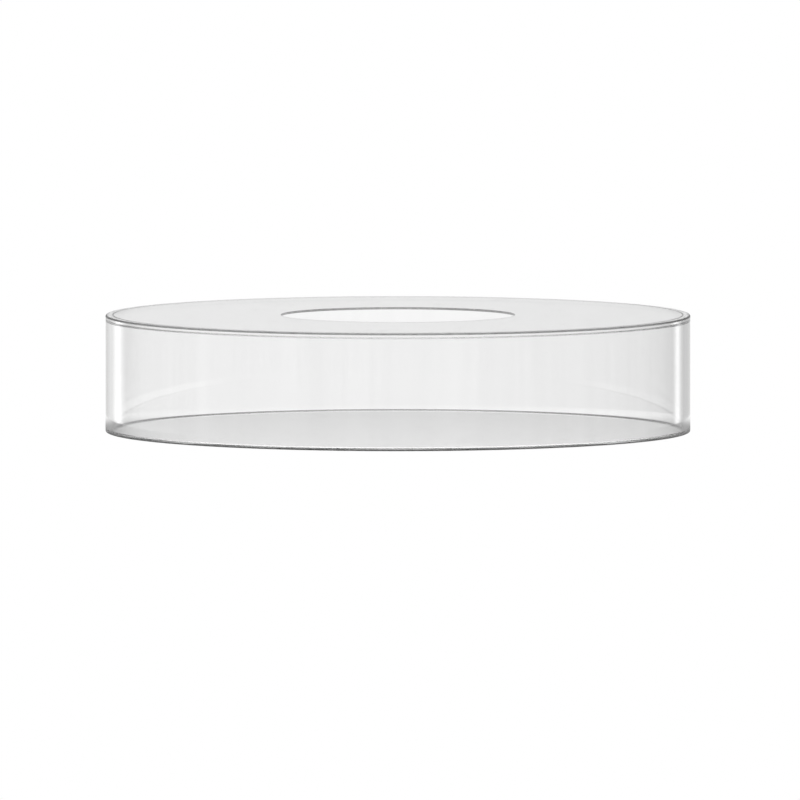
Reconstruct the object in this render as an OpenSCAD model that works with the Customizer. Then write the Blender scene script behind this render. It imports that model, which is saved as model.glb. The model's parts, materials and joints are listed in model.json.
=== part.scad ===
// Round clear display riser: a drum made of a tube and a bonded base plate, with a thin
// drop-in lid that lifts out by the opening in its middle.
// +Z is up, and the origin is the centre of the face that the riser stands on.

/* [Drum] */
// Outer diameter of the tube
drum_d = 250; // [200:1:400]
// Height of the tube, which is the height of the whole riser
drum_h = 50; // [40:1:150]
// Wall thickness of the tube
wall_t = 3; // [2.5:0.5:5]
// Width of the polished bevel on the tube's outer ends
tube_bevel = 0.5; // [0.2:0.1:1]

/* [Sheet pieces] */
// Thickness of the sheet that the base, the lid and the support ring are cut from
sheet_t = 1; // [0.8:0.1:3]
// Width of the broken edge on each free cut edge of the sheet
edge_break = 0.15; // [0.05:0.05:0.3]
// Diameter of the opening in the middle of the lid
opening_d = 100; // [40:1:140]
// Gap between the lid's rim and the wall, on each side
lid_gap = 0.4; // [0.2:0.1:1]
// Radial width of the ring that the lid rests on
ring_w = 3; // [2:0.5:8]

/* [Bonded joints] */
// Leg of the cement bead in each bonded corner
bead_leg = 0.7; // [0.4:0.1:2]

/* [Hidden] */
$fn = 180;

outer_r = drum_d / 2;
bore_r = outer_r - wall_t;
opening_r = opening_d / 2;
lid_r = bore_r - lid_gap;
lid_z = drum_h - sheet_t;
ring_z = lid_z - sheet_t;

// How far the bead's face bows in towards its corner, as a share of its leg
bead_hollow = 0.2;
// Straight steps along the bead's hollow face
bead_steps = 6;

// An upright strip of wall between two radii, with its bevels at the corners named in
// cuts, as [inner bottom, outer bottom, outer top, inner top] widths.
module turned_strip(r_in, r_out, height, cuts) {
    rotate_extrude()
        polygon([
            [r_in + cuts[0], 0], [r_out - cuts[1], 0],
            [r_out, cuts[1]], [r_out, height - cuts[2]],
            [r_out - cuts[2], height], [r_in + cuts[3], height],
            [r_in, height - cuts[3]], [r_in, cuts[0]],
        ]);
}

// A bead of cement in the corner between the wall and a level face. It stands on the
// face, or hangs below it where up is -1.
module cement_bead(up) {
    hollow = bead_hollow * bead_leg;
    function face(t) = [
        bore_r - bead_leg * (1 - t) + 4 * hollow * t * (1 - t),
        up * (bead_leg * t - 4 * hollow * t * (1 - t)),
    ];
    rotate_extrude()
        polygon([[bore_r, 0], for (i = [0 : bead_steps]) face(i / bead_steps)]);
}

module side_wall() {
    color([0.93, 0.93, 0.93, 0.35])
        turned_strip(bore_r, outer_r, drum_h, [0, tube_bevel, tube_bevel, edge_break]);
}

module base_plate() {
    color([0.87, 0.87, 0.87, 0.4])
        cylinder(r = bore_r, h = sheet_t);
}

module base_cement_bead() {
    color([0.96, 0.96, 0.96, 0.5])
        translate([0, 0, sheet_t])
            cement_bead(1);
}

module lid_support_ring() {
    color([0.93, 0.93, 0.93, 0.35])
        translate([0, 0, ring_z])
            turned_strip(bore_r - ring_w, bore_r, sheet_t, [edge_break, 0, 0, edge_break]);
}

module ring_cement_bead() {
    color([0.96, 0.96, 0.96, 0.5])
        translate([0, 0, ring_z])
            cement_bead(-1);
}

module lid_plate() {
    breaks = [edge_break, edge_break, edge_break, edge_break];
    color([0.92, 0.92, 0.92, 0.4])
        translate([0, 0, lid_z])
            turned_strip(opening_r, lid_r, sheet_t, breaks);
}

side_wall();
base_plate();
base_cement_bead();
lid_support_ring();
ring_cement_bead();
lid_plate();
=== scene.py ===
"""Round clear acrylic display stand: a drum with a bonded base and a drop-in lid."""

import json
import math

import bpy
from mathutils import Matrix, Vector


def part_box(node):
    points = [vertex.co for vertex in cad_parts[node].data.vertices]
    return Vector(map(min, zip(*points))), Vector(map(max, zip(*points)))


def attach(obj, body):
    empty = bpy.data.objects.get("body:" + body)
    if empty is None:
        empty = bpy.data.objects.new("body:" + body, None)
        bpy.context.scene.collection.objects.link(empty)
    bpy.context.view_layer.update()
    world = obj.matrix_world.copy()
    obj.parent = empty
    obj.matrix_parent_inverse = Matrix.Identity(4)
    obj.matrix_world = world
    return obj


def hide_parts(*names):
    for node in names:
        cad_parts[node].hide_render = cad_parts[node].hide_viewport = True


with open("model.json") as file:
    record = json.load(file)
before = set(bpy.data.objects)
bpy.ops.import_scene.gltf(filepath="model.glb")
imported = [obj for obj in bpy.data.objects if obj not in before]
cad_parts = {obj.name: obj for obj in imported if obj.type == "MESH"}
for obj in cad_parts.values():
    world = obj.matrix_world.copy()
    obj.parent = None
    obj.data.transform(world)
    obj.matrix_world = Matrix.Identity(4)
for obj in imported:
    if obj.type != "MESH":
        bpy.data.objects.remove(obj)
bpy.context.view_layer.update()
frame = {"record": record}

MM = 0.001

# ---------------------------------------------------------------- sizes from the CAD frame


def radius_and_levels(node):
    """A round node's outer radius, and the z of its lower and upper ends."""
    low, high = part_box(node)
    return high[0], low[2], high[2]


OUTER_R, FOOT_Z, RIM_Z = radius_and_levels("side_wall")
BORE_R, _, BASE_TOP = radius_and_levels("base_plate")
LID_R, LID_Z, _ = radius_and_levels("lid_plate")
_, RING_Z, RING_TOP = radius_and_levels("lid_support_ring")
_, _, BASE_BEAD_TOP = radius_and_levels("base_cement_bead")
_, RING_BEAD_Z, _ = radius_and_levels("ring_cement_bead")
LID_OPENING = next(m for m in frame["record"]["mounts"] if m["name"] == "lid_opening")
OPENING_R = LID_OPENING["dims"]["r_mm"] * MM
RING_WIDTH = 3.0 * MM  # as ring_w in the part's source

BOND = 0.02 * MM  # how far a bonded face sinks into its neighbour
AIR = 0.03 * MM  # air under a piece that only rests

# ---------------------------------------------------------------- node trees


class Graph:
    """A node tree and short ways to add to it."""

    def __init__(self, owner):
        owner.use_nodes = True
        self.tree = owner.node_tree

    def feed(self, socket, value):
        if isinstance(value, bpy.types.NodeSocket):
            self.tree.links.new(value, socket)
        else:
            socket.default_value = value

    def add(self, kind, inputs=(), **settings):
        node = self.tree.nodes.new(kind)
        for key, value in settings.items():
            setattr(node, key, value)
        for key, value in dict(inputs).items():
            self.feed(node.inputs[key], value)
        return node

    def calc(self, operation, *values):
        node = self.add("ShaderNodeMath", operation=operation)
        for socket, value in zip(node.inputs, values):
            self.feed(socket, value)
        return node.outputs[0]

    def span(self, value, start, end, low, high, interpolation="SMOOTHSTEP"):
        """low where value is start, high where it's end, and smooth between."""
        inputs = {"Value": value, "From Min": start, "From Max": end, "To Min": low, "To Max": high}
        return self.add("ShaderNodeMapRange", inputs, interpolation_type=interpolation).outputs[0]

    def blend(self, first, second, share):
        """first where share is 0, and second where it's 1."""
        rest = self.calc("MULTIPLY", first, self.calc("SUBTRACT", 1.0, share))
        return self.calc("ADD", rest, self.calc("MULTIPLY", second, share))

    def place(self):
        """The point's x, y and z in the frame, in metres, and its distance from the axis."""
        where = self.add("ShaderNodeTexCoord").outputs["Object"]
        split = self.add("ShaderNodeSeparateXYZ", {0: where})
        x, y, z = split.outputs
        r = self.calc("SQRT", self.calc("ADD", self.calc("MULTIPLY", x, x), self.calc("MULTIPLY", y, y)))
        return x, y, z, r

    def vector(self, x, y, z):
        return self.add("ShaderNodeCombineXYZ", {"X": x, "Y": y, "Z": z}).outputs[0]

    def noise(self, vector, size, detail=2.0):
        """Noise from 0 to 1 whose features are about size metres wide."""
        inputs = {"Vector": vector, "Scale": 1.0 / size, "Detail": detail}
        return self.add("ShaderNodeTexNoise", inputs).outputs[0]

    def grey(self, value):
        return self.add("ShaderNodeCombineColor", {"Red": value, "Green": value, "Blue": value}).outputs[0]

    def bump(self, height, depth):
        """The normal of a surface that stands depth metres higher where height is 1 than where it's 0."""
        inputs = {"Height": height, "Distance": depth, "Strength": 1.0}
        return self.add("ShaderNodeBump", inputs).outputs[0]


# ---------------------------------------------------------------- materials

ACRYLIC_IOR = 1.49


def new_acrylic(name):
    mat = bpy.data.materials.new(name)
    graph = Graph(mat)
    bsdf = graph.tree.nodes["Principled BSDF"]
    bsdf.inputs["IOR"].default_value = ACRYLIC_IOR
    bsdf.inputs["Transmission Weight"].default_value = 1.0
    return mat, graph, bsdf


def tube_material():
    """Drawn tube: faint upright streaks from the die, and hardly any haze."""
    mat, g, bsdf = new_acrylic("clear_tube")
    x, y, z, _ = g.place()
    along = g.vector(x, y, g.calc("MULTIPLY", z, 0.04))
    broad = g.noise(along, 14 * MM, detail=1.0)
    fine = g.noise(along, 3 * MM, detail=2.0)
    streak = g.blend(broad, fine, 0.4)
    g.feed(bsdf.inputs["Base Color"], g.grey(g.span(streak, 0.3, 0.7, 0.955, 0.995, "LINEAR")))
    haze = g.noise(g.vector(x, y, z), 25 * MM, detail=3.0)
    g.feed(bsdf.inputs["Roughness"], g.span(haze, 0.55, 0.8, 0.0, 0.012))
    g.feed(bsdf.inputs["Normal"], g.bump(fine, 0.0012 * MM))
    return mat


def sheet_material(name, tint):
    """Cast sheet: very slightly cloudy, with hairline scratches that cross it."""
    mat, g, bsdf = new_acrylic(name)
    x, y, z, _ = g.place()
    cloud = g.noise(g.vector(x, y, z), 40 * MM, detail=3.0)
    g.feed(bsdf.inputs["Base Color"], g.grey(g.span(cloud, 0.3, 0.7, tint - 0.012, tint + 0.012)))
    scratches = 0.0
    for turn, width in ((0.5, 0.5), (2.1, 0.4), (2.9, 0.6)):
        cos, sin = math.cos(turn), math.sin(turn)
        across = g.calc("ADD", g.calc("MULTIPLY", x, cos), g.calc("MULTIPLY", y, sin))
        along = g.calc("SUBTRACT", g.calc("MULTIPLY", y, cos), g.calc("MULTIPLY", x, sin))
        drawn_out = g.vector(across, g.calc("MULTIPLY", along, 0.02), 0.0)
        lines = g.noise(drawn_out, width * MM, detail=0.0)
        scratches = g.calc("ADD", scratches, g.span(lines, 0.74, 0.82, 0.0, 0.05))
    g.feed(bsdf.inputs["Roughness"], scratches)
    waviness = g.noise(g.vector(x, y, z), 30 * MM, detail=0.0)
    g.feed(bsdf.inputs["Normal"], g.bump(waviness, 0.002 * MM))
    return mat


def cut_edge_painted_shade_material():
    """Laser-cut edge: fine upright striations across the thickness of the sheet. The tint is darker than
    clear acrylic's: it is painted shade, for the dark line that the edge shows."""
    mat, g, bsdf = new_acrylic("laser_cut_edge_painted_shade")
    x, y, z, _ = g.place()
    striation = g.noise(g.vector(x, y, g.calc("MULTIPLY", z, 0.1)), 0.35 * MM, detail=2.0)
    # painted shade: a dark tint for the dark line along the cut edge, varied by the striations
    g.feed(bsdf.inputs["Base Color"], g.grey(g.span(striation, 0.3, 0.7, 0.42, 0.58)))
    g.feed(bsdf.inputs["Roughness"], g.span(striation, 0.3, 0.7, 0.15, 0.28))
    g.feed(bsdf.inputs["Normal"], g.bump(striation, 0.006 * MM))
    return mat


def tube_edge_painted_shade_material(name, low, high):
    """Bevel on an end of the tube: scraped round the tube, then polished. Its tint, from low to high, is
    darker than clear acrylic's: it is painted shade, for the dark line that the edge shows, and at the
    foot a painted contact shadow."""
    mat, g, bsdf = new_acrylic(name)
    x, _, z, r = g.place()
    around = g.vector(r, g.calc("MULTIPLY", x, 0.03), z)
    marks = g.noise(around, 0.12 * MM)
    # painted shade: a dark tint for the dark line along the bevel, varied by the scrape marks
    g.feed(bsdf.inputs["Base Color"], g.grey(g.span(marks, 0.3, 0.7, low, high)))
    g.feed(bsdf.inputs["Roughness"], g.span(marks, 0.3, 0.7, 0.25, 0.35))
    g.feed(bsdf.inputs["Normal"], g.bump(marks, 0.003 * MM))
    return mat


def cement_material():
    """Set cement: nearly clear, duller in patches, with small bubbles."""
    mat, g, bsdf = new_acrylic("cement")
    x, y, z, _ = g.place()
    dull = g.noise(g.vector(x, y, z), 9 * MM, detail=3.0)
    bsdf.inputs["Transmission Weight"].default_value = 0.95
    g.feed(bsdf.inputs["Base Color"], g.grey(g.span(dull, 0.3, 0.7, 0.97, 1.0)))
    g.feed(bsdf.inputs["Roughness"], g.span(dull, 0.35, 0.7, 0.05, 0.2))
    inputs = {"Vector": g.vector(x, y, z), "Scale": 1 / (0.5 * MM)}
    bubbles = g.add("ShaderNodeTexVoronoi", inputs, feature="F1").outputs["Distance"]
    pits = g.span(bubbles, 0.1, 0.35, 0.0, 1.0)
    g.feed(bsdf.inputs["Normal"], g.bump(pits, 0.02 * MM))
    return mat


def bonded_material():
    """A face inside a cemented joint, where nothing shows and light goes straight on."""
    mat, _, bsdf = new_acrylic("inside_joint")
    bsdf.inputs["Alpha"].default_value = 0.0
    return mat


TUBE = tube_material()
LID_SHEET = sheet_material("clear_sheet", 0.98)
# painted shade: the base is the same cast sheet as the lid, tinted darker for the shade under the drum
BASE_SHEET_PAINTED_SHADE = sheet_material("clear_base_sheet", 0.95)
# painted shade: the cut edges of the lid are tinted dark
CUT_EDGE_PAINTED_SHADE = cut_edge_painted_shade_material()
# painted shade: the rim bevel is tinted dark for the dark line along the rim
RIM_BEVEL_PAINTED_SHADE = tube_edge_painted_shade_material("scraped_rim_edge_painted_shade", 0.2, 0.3)
# painted shadow: the foot bevel is tinted near black for the contact shadow where the tube stands on the
# floor
FOOT_BEVEL_PAINTED_SHADOW = tube_edge_painted_shade_material("scraped_foot_edge_painted_shadow", 0.05, 0.1)
CEMENT = cement_material()
JOINT = bonded_material()

# ---------------------------------------------------------------- mesh

SEGMENTS = 720  # round each piece
ARC_STEPS = 6  # over each rounded corner


def rounded(corners):
    """The outline's (r, z, material) points. Each corner is (r, z, radius, arc, side): its
    radius, the material of its arc and that of the side that starts at it."""
    out = []
    for i, (r, z, radius, arc, side) in enumerate(corners):
        if radius == 0:
            out.append((r, z, side))
            continue
        here = Vector((r, z))
        before = (Vector(corners[i - 1][:2]) - here).normalized()
        after = (Vector(corners[(i + 1) % len(corners)][:2]) - here).normalized()
        half = before.angle(after) / 2
        centre = here + (before + after).normalized() * (radius / math.sin(half))
        start = here + before * (radius / math.tan(half)) - centre
        end = here + after * (radius / math.tan(half)) - centre
        for k in range(ARC_STEPS + 1):
            p = centre + start.slerp(end, k / ARC_STEPS).normalized() * radius
            out.append((p.x, p.y, side if k == ARC_STEPS else arc))
    return out


SHARP = math.radians(20)  # sides that bend more than this meet in an edge


def side_normals(outline, closed):
    """The outward (r, z) normals at the start and the end of each side, and 1 or -1 for the
    way the outline runs. Sides that bend little share a normal, and a much longer side's counts."""
    count = len(outline)
    points = [Vector(point[:2]) for point in outline]
    area = sum(points[i].cross(points[(i + 1) % count]) for i in range(count))
    facing = math.copysign(1.0, area)
    sides = []
    for i in range(count if closed else count - 1):
        along = points[(i + 1) % count] - points[i]
        sides.append(Vector((along.y, -along.x)) * facing)

    def shared(own, other):
        if own.angle(other) > SHARP or own.length > 4 * other.length:
            return own.normalized()
        if other.length > 4 * own.length:
            return other.normalized()
        return (own.normalized() + other.normalized()).normalized()

    ends = []
    for i, side in enumerate(sides):
        before = sides[i - 1] if closed or i > 0 else side
        after = sides[(i + 1) % len(sides)] if closed or i < len(sides) - 1 else side
        ends.append((shared(side, before), shared(side, after)))
    return ends, facing


def lathe(name, outline, closed=True):
    """Turns an outline of (r, z, material) points about Z. An open outline starts and ends
    on the axis. A point's material is that of the side from it to the next."""
    angles = [2 * math.pi * s / SEGMENTS for s in range(SEGMENTS)]
    verts, rows = [], []
    for r, z, _ in outline:
        start = len(verts)
        if r == 0:
            rows.append([start] * SEGMENTS)
            verts.append((0.0, 0.0, z))
            continue
        rows.append(list(range(start, start + SEGMENTS)))
        verts += [(r * math.cos(a), r * math.sin(a), z) for a in angles]
    materials = list(dict.fromkeys(point[2] for point in outline))
    ends, facing = side_normals(outline, closed)
    faces, indices, normals = [], [], []
    for i, (first, second) in enumerate(ends):
        lower, upper = rows[i], rows[(i + 1) % len(rows)]
        for s in range(SEGMENTS):
            t = (s + 1) % SEGMENTS
            corners = {}
            for vertex, n, a in (
                (lower[s], first, angles[s]), (lower[t], first, angles[t]),
                (upper[t], second, angles[t]), (upper[s], second, angles[s]),
            ):
                corners[vertex] = (n.x * math.cos(a), n.x * math.sin(a), n.y)
            order = list(corners) if facing > 0 else list(reversed(corners))
            faces.append(order)
            normals += [corners[v] for v in order]
            indices.append(materials.index(outline[i][2]))
    mesh = bpy.data.meshes.new(name)
    mesh.from_pydata(verts, [], faces)
    mesh.polygons.foreach_set("material_index", indices)
    for material in materials:
        mesh.materials.append(material)
    mesh.shade_smooth()
    mesh.normals_split_custom_set(normals)
    piece = bpy.data.objects.new(name, mesh)
    bpy.context.scene.collection.objects.link(piece)
    return piece


def finish_piece(piece, body, node):
    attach(piece, body)
    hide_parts(node)


# ---------------------------------------------------------------- pieces

TUBE_BEVEL = 0.7 * MM  # radius of the tube's outer corners, where the part's source has 0.5
EDGE_BREAK = 0.12 * MM  # radius of the other free corners, where the part's source has 0.15


def make_side_wall():
    wall = lathe("side_wall_tube", rounded([
        (BORE_R, FOOT_Z, 0, None, TUBE),
        (OUTER_R, FOOT_Z, TUBE_BEVEL, FOOT_BEVEL_PAINTED_SHADOW, TUBE),
        (OUTER_R, RIM_Z, TUBE_BEVEL, RIM_BEVEL_PAINTED_SHADE, TUBE),
        (BORE_R, RIM_Z, EDGE_BREAK, TUBE, TUBE),
        (BORE_R, RING_TOP, 0, None, JOINT),
        (BORE_R, RING_BEAD_Z, 0, None, TUBE),
        (BORE_R, BASE_BEAD_TOP, 0, None, JOINT),
    ]))
    finish_piece(wall, "drum", "side_wall")


def make_base_plate():
    middle_r = 0.5 * BORE_R
    bead_r = BORE_R - (BASE_BEAD_TOP - BASE_TOP)
    disc = lathe("base_disc", [
        (0, FOOT_Z, BASE_SHEET_PAINTED_SHADE),
        (middle_r, FOOT_Z, BASE_SHEET_PAINTED_SHADE),
        (BORE_R + BOND, FOOT_Z, JOINT),
        (BORE_R + BOND, BASE_TOP, JOINT),
        (bead_r, BASE_TOP, BASE_SHEET_PAINTED_SHADE),
        (middle_r, BASE_TOP, BASE_SHEET_PAINTED_SHADE),
        (0, BASE_TOP, BASE_SHEET_PAINTED_SHADE),
    ], closed=False)
    finish_piece(disc, "drum", "base_plate")


def cement_bead(name, node, z, tip_z):
    """A bead with a hollow face, in the corner between the bore and the level z."""
    leg = abs(tip_z - z)
    up = math.copysign(1.0, tip_z - z)
    hollow, steps = 0.8 * leg, 10
    outline = [(BORE_R + BOND, z - up * BOND, JOINT), (BORE_R - leg, z - up * BOND, JOINT)]
    for k in range(steps + 1):
        t = k / steps
        sag = hollow * t * (1 - t)
        outline.append((BORE_R - leg * (1 - t) + sag, z + up * (leg * t - sag), CEMENT))
    outline[-1] = (*outline[-1][:2], JOINT)
    outline.append((BORE_R + BOND, tip_z, JOINT))
    finish_piece(lathe(name, outline), "drum", node)


def make_ledge():
    inner_r = BORE_R - RING_WIDTH
    bead_r = BORE_R - (RING_Z - RING_BEAD_Z)
    ledge = lathe("lid_ledge", rounded([
        (inner_r, RING_Z, EDGE_BREAK, LID_SHEET, LID_SHEET),
        (bead_r, RING_Z, 0, None, JOINT),
        (BORE_R + BOND, RING_Z, 0, None, JOINT),
        (BORE_R + BOND, RING_TOP, 0, None, LID_SHEET),
        (inner_r, RING_TOP, EDGE_BREAK, LID_SHEET, LID_SHEET),
    ]))
    finish_piece(ledge, "drum", "lid_support_ring")


def make_lid():
    lid = lathe("lid_disc", rounded([
        (OPENING_R, LID_Z + AIR, EDGE_BREAK, CUT_EDGE_PAINTED_SHADE, LID_SHEET),
        (LID_R, LID_Z + AIR, EDGE_BREAK, LID_SHEET, LID_SHEET),
        (LID_R, RIM_Z, EDGE_BREAK, LID_SHEET, LID_SHEET),
        (OPENING_R, RIM_Z, EDGE_BREAK, CUT_EDGE_PAINTED_SHADE, CUT_EDGE_PAINTED_SHADE),
    ]))
    finish_piece(lid, "lid", "lid_plate")


make_side_wall()
make_base_plate()
cement_bead("base_bead_of_cement", "base_cement_bead", BASE_TOP, BASE_BEAD_TOP)
make_ledge()
cement_bead("ledge_bead_of_cement", "ring_cement_bead", RING_Z, RING_BEAD_Z)
make_lid()

# ---------------------------------------------------------------- studio

# The background is a white sweep. The camera sees it as plain white. The acrylic sees the
# same sweep with the shades that a studio has round it: darker flags beside and above the
# sweep, and a dim room behind the camera.

FLOOR_GAP = 0.06 * MM
FLOOR_HALF = 60.0
PATCH_R = 0.172
PATCH_FAR, PATCH_NEAR = 0.75, 1.35  # brightness under the stand's far and near side, painted shadow to painted light
PATCH_ROUND = 1.1  # and just outside the stand, behind it
ROOM = 0.4  # brightness of the room behind the camera


def glowing_paper(name):
    mat = bpy.data.materials.new(name)
    graph = Graph(mat)
    bsdf = graph.tree.nodes["Principled BSDF"]
    bsdf.inputs["Base Color"].default_value = (0, 0, 0, 1)
    bsdf.inputs["Roughness"].default_value = 1.0
    bsdf.inputs["Specular IOR Level"].default_value = 0.0
    bsdf.inputs["Emission Color"].default_value = (1, 1, 1, 1)
    bsdf.inputs["Emission Strength"].default_value = 1.0
    return mat, graph, bsdf


def new_sheet(name, outline, material):
    mesh = bpy.data.meshes.new(name)
    z = FOOT_Z - FLOOR_GAP
    mesh.from_pydata([(x, y, z) for x, y in outline], [], [tuple(range(len(outline)))])
    mesh.materials.append(material)
    sheet = bpy.data.objects.new(name, mesh)
    bpy.context.scene.collection.objects.link(sheet)
    return sheet


def make_floor():
    """The white floor that the camera sees. The acrylic doesn't see it, and has the patch."""
    half = FLOOR_HALF
    material, _, _ = glowing_paper("floor_paper")
    floor = new_sheet("floor", [(-half, -half), (half, -half), (half, half), (-half, half)], material)
    floor.visible_glossy = floor.visible_transmission = floor.visible_diffuse = False
    floor.visible_shadow = False


def make_patch():
    """The floor near the stand as the acrylic sees it: under the stand, a painted shadow at its far side
    that turns to painted light at its near side, bright behind it and dim in front."""
    material, g, bsdf = glowing_paper("patch_paper")
    _, y, _, r = g.place()
    # painted shadow under the stand's far side, turning to painted light under its near side
    under = g.span(y, OUTER_R, -OUTER_R, PATCH_FAR, PATCH_NEAR, "LINEAR")
    behind = g.span(r, OUTER_R, PATCH_R, PATCH_ROUND, 1.0, "LINEAR")
    around = g.blend(ROOM, behind, g.span(y, 0.2 * OUTER_R, 0.9 * OUTER_R, 0.0, 1.0))
    outside = g.span(r, OUTER_R - MM, OUTER_R, 0.0, 1.0)
    g.feed(bsdf.inputs["Emission Strength"], g.blend(under, around, outside))
    steps = 128
    angles = [2 * math.pi * k / steps for k in range(steps)]
    rim = [(PATCH_R * math.cos(a), PATCH_R * math.sin(a)) for a in angles]
    patch = new_sheet("floor_patch", rim, material)
    patch.visible_camera = False


# Brightness along the horizon, as (azimuth, level) pairs. 0 is straight behind the stand, and the right is
# positive. The levels were picked so that the wall is shaded as in the photograph, and they suit a camera
# in front of the stand.
HORIZON = (
    (-180, 0.4), (-120, 0.4), (-90, 0.6), (-60, 0.8), (-45, 0.78), (-26, 0.8), (-18, 0.8), (-15, 0.7),
    (-11, 0.58), (-8, 0.72), (-5, 0.92), (-2, 1.0), (0, 1.0), (2, 0.92), (5, 0.8), (8, 0.66),
    (11, 0.6), (60, 0.56), (90, 0.35), (120, 0.3), (180, 0.4),
)
ABOVE_HORIZON = 0.8  # what the sweep keeps of its brightness just above the horizon
# Three more bands: the elevations in degrees where each starts and is complete, and its level.
FLAGS = (10, 20, 0.5)
OVERHEAD = (50, 75, 1.1)
FLOOR_GLOW = (-8, -14, 0.92)


def make_world():
    """The studio's brightness by direction, and plain white for the camera."""
    world = bpy.data.worlds.new("studio")
    bpy.context.scene.world = world
    g = Graph(world)
    background = g.tree.nodes["Background"]
    split = g.add("ShaderNodeSeparateXYZ", {0: g.add("ShaderNodeTexCoord").outputs["Generated"]})
    x, y, z = split.outputs
    elevation = g.calc("DEGREES", g.calc("ARCSINE", z))
    turn = g.calc("ADD", g.calc("DIVIDE", g.calc("ARCTAN2", x, y), 2 * math.pi), 0.5)
    ramp = g.add("ShaderNodeValToRGB", {"Fac": turn})
    stops = ramp.color_ramp.elements
    stops[0].position, stops[1].position = 0.0, 1.0
    for azimuth, _ in HORIZON[1:-1]:
        stops.new((azimuth + 180) / 360)
    for stop, (_, level) in zip(stops, HORIZON):
        stop.color = (level, level, level, 1)
    fade = g.span(elevation, -2.0, 3.0, 1.0, ABOVE_HORIZON)
    level = g.calc("MULTIPLY", ramp.outputs["Color"], fade)
    for start, end, band in (FLAGS, OVERHEAD, FLOOR_GLOW):
        level = g.blend(level, band, g.span(elevation, start, end, 0.0, 1.0))
    seen = g.add("ShaderNodeLightPath").outputs["Is Camera Ray"]
    background.inputs["Color"].default_value = (1, 1, 1, 1)
    g.feed(background.inputs["Strength"], g.blend(level, 1.0, seen))


STRIP_DISTANCE, STRIP_WIDTH, STRIP_HEIGHT = 0.6, 0.17, 0.11


def strip_light(name, azimuth, half_spread, radiance):
    """A strip softbox with a grid, behind the stand and to one side, that shines along one
    side of the tube. The camera doesn't see it."""
    side = math.copysign(1.0, azimuth)
    a, dip = math.radians(azimuth), CAMERA_ELEVATION
    ahead = Vector((math.sin(a) * math.cos(dip), math.cos(a) * math.cos(dip), -math.sin(dip)))
    across = Vector((math.cos(a), -math.sin(a), 0.0))
    data = bpy.data.lights.new(name, "AREA")
    data.shape = "RECTANGLE"
    data.size, data.size_y = STRIP_WIDTH, STRIP_HEIGHT
    data.spread = math.radians(2 * half_spread)
    reach = math.radians(half_spread)
    # The grid keeps all of the light, so this keeps the brightness on its axis at radiance.
    kept = (math.tan(reach) - reach) / math.tan(reach)
    data.energy = radiance * STRIP_WIDTH * STRIP_HEIGHT * math.pi * kept
    lamp = bpy.data.objects.new(name, data)
    bpy.context.scene.collection.objects.link(lamp)
    lamp.location = ahead * STRIP_DISTANCE + across * side * 0.95 * OUTER_R
    lamp.rotation_euler = ahead.to_track_quat("Z", "Y").to_euler()
    lamp.visible_camera = False


CAMERA_ELEVATION = math.radians(3.84)
CAMERA_DISTANCE = 12.0
FRAME_WIDTH = 0.342  # metres across the picture at the stand
AIM = Vector((0.9 * MM, 0, 13.4 * MM))


def make_camera():
    data = bpy.data.cameras.new("camera")
    data.sensor_width = 36.0
    data.lens = data.sensor_width * CAMERA_DISTANCE / FRAME_WIDTH
    data.clip_start, data.clip_end = 0.05, 300.0
    camera = bpy.data.objects.new("camera", data)
    bpy.context.scene.collection.objects.link(camera)
    bpy.context.scene.camera = camera
    back = Vector((0, -math.cos(CAMERA_ELEVATION), math.sin(CAMERA_ELEVATION)))
    camera.location = AIM + back * CAMERA_DISTANCE
    camera.rotation_euler = (-back).to_track_quat("-Z", "Y").to_euler()


def set_render():
    scene = bpy.context.scene
    scene.view_settings.view_transform = "Standard"
    scene.view_settings.look = "None"
    scene.view_settings.exposure = 0.0
    scene.view_settings.gamma = 1.0
    scene.cycles.max_bounces = 48
    scene.cycles.transmission_bounces = 48
    scene.cycles.glossy_bounces = 24
    scene.cycles.transparent_max_bounces = 32
    scene.cycles.use_denoising = True


make_floor()
make_patch()
make_world()
strip_light("left_strip", -33.5, 8.5, 1.1)
strip_light("right_strip", 33.5, 5.5, 1.1)
make_camera()
set_render()
